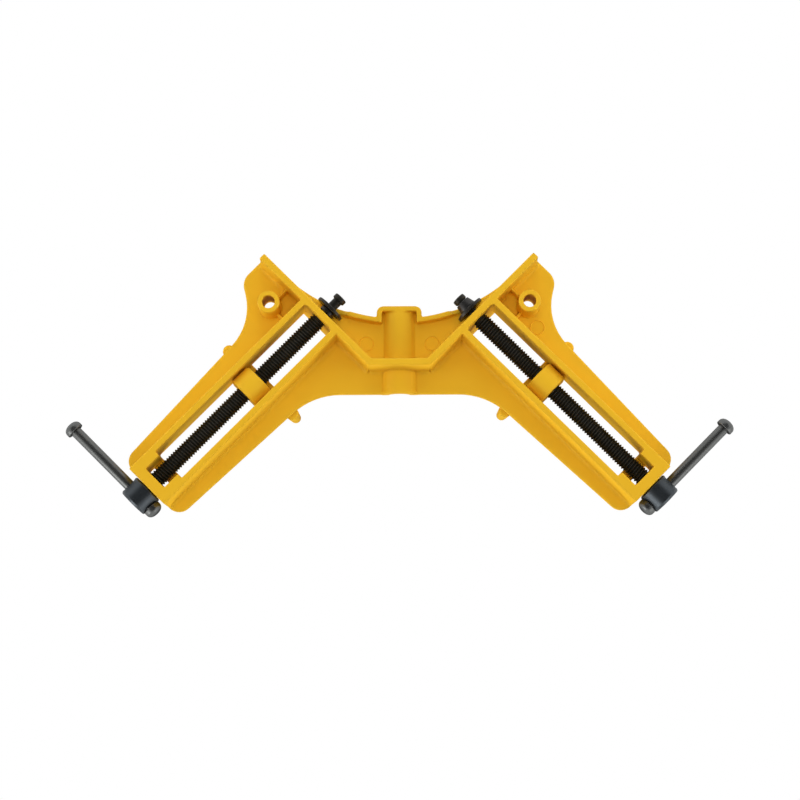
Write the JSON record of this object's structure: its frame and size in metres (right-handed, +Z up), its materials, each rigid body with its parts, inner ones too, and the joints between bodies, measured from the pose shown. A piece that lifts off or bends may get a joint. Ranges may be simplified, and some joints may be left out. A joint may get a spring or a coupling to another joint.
{
  "type": "corner clamp",
  "caption": "Corner clamp: ribbed cast body with a right-angled fence, sliding jaws on threaded spindles, and hubs with sliding bars.",
  "frame": {"origin": "below the middle of the whole clamp's box, at the height of the rib rims it stands on", "axes": "+X to the right, from one arm to the other, +Y to the back, from the arms to the ears, +Z up, from the rib rims to the jaws"},
  "size_m": [0.3568, 0.142, 0.0419],
  "materials": {
    "yellow_enamel": "glossy yellow enamel on die-cast aluminium",
    "black_oxide": "oiled black oxide on steel",
    "dark_cast_steel": "dark blue-grey, satin",
    "grey_bar_steel": "dark grey steel, satin"
  },
  "bodies": {
    "body": {"body_casting": "yellow_enamel"},
    "right_screw": {"right_spindle": "black_oxide", "right_handle_hub": "dark_cast_steel", "right_retaining_washer": "black_oxide", "right_retaining_collar": "dark_cast_steel"},
    "right_jaw": {"right_moving_jaw": "yellow_enamel"},
    "right_bar": {"right_tommy_bar": "grey_bar_steel", "right_near_knob": "grey_bar_steel", "right_far_knob": "grey_bar_steel"},
    "left_screw": {"left_spindle": "black_oxide", "left_handle_hub": "dark_cast_steel", "left_retaining_washer": "black_oxide", "left_retaining_collar": "dark_cast_steel"},
    "left_jaw": {"left_moving_jaw": "yellow_enamel"},
    "left_bar": {"left_tommy_bar": "grey_bar_steel", "left_near_knob": "grey_bar_steel", "left_far_knob": "grey_bar_steel"}
  },
  "joints": [
    {"name": "right_spindle_turn", "type": "hinge", "parent": "body", "child": "right_screw", "pos_m": [0.04165, 0.03678, 0.0096], "axis": [0.7071, -0.7071, 0], "range_deg": [-9000, 12240]},
    {"name": "right_jaw_slide", "type": "slide", "parent": "body", "child": "right_jaw", "axis": [0.7071, -0.7071, 0], "range_m": [-0.03972, 0.054]},
    {"name": "right_bar_slide", "type": "slide", "parent": "right_screw", "child": "right_bar", "axis": [-0.7071, -0.7071, 0], "range_m": [0, 0.0406]},
    {"name": "left_spindle_turn", "type": "hinge", "parent": "body", "child": "left_screw", "pos_m": [-0.04165, 0.03678, 0.0096], "axis": [-0.7071, -0.7071, 0], "range_deg": [-8640, 12600]},
    {"name": "left_jaw_slide", "type": "slide", "parent": "body", "child": "left_jaw", "axis": [-0.7071, -0.7071, 0], "range_m": [-0.03813, 0.05559]},
    {"name": "left_bar_slide", "type": "slide", "parent": "left_screw", "child": "left_bar", "axis": [0.7071, -0.7071, 0], "range_m": [0, 0.0406]}
  ],
  "couplings": [
    {"joint": "right_jaw_slide", "follows": "right_spindle_turn", "m_per_rad": 0.00025266},
    {"joint": "left_jaw_slide", "follows": "left_spindle_turn", "m_per_rad": 0.00025266}
  ]
}
